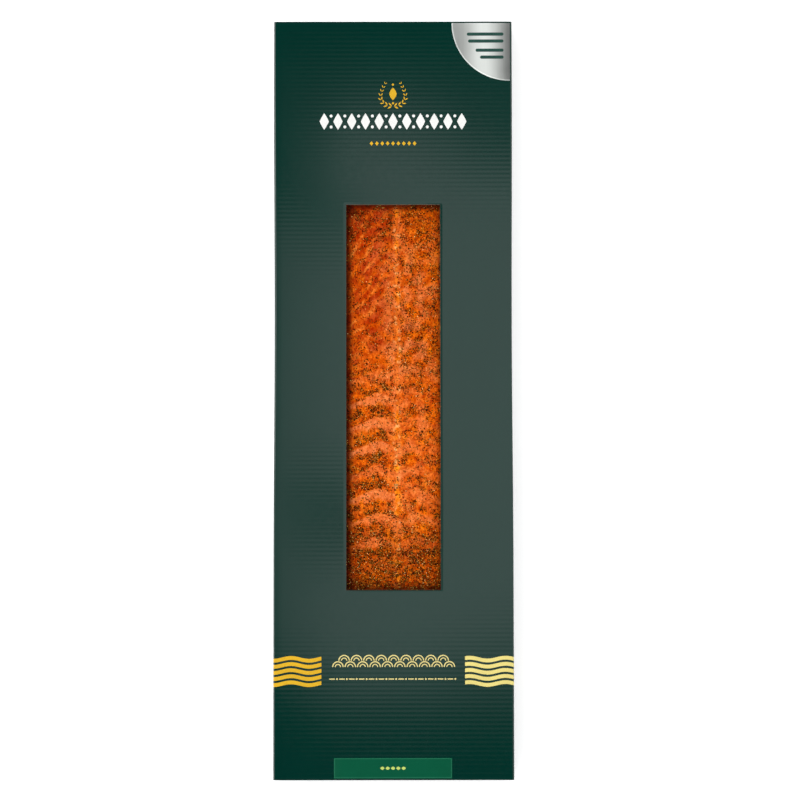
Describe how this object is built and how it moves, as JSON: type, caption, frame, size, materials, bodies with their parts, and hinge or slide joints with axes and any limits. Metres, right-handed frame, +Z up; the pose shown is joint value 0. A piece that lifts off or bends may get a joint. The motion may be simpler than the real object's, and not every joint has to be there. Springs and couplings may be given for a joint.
{
  "type": "boxed side of salmon",
  "caption": "Shut flat carton of fluted board with a long window in its front, over a herb-cured side of salmon.",
  "frame": {"origin": "middle of the carton's back, the face that it lies on", "axes": "+X across the carton to the right of its front, +Y along it towards the end with the silver label, +Z up out of its front"},
  "size_m": [0.1906, 0.604, 0.0286],
  "materials": {
    "green_board": "matt laminated print on fluted board",
    "cured_flesh": "moist cured flesh under clear film",
    "herbs": "chopped dried herb",
    "clear_film": "clear glossy film",
    "gold_print": "satin gold print",
    "white_print": "white print",
    "silver_foil": "satin foil",
    "label_green": "satin print"
  },
  "bodies": {
    "root": {"carton": "green_board", "fillet": "cured_flesh", "corner_label": "silver_foil", "base_label": "label_green"}
  },
  "joints": []
}
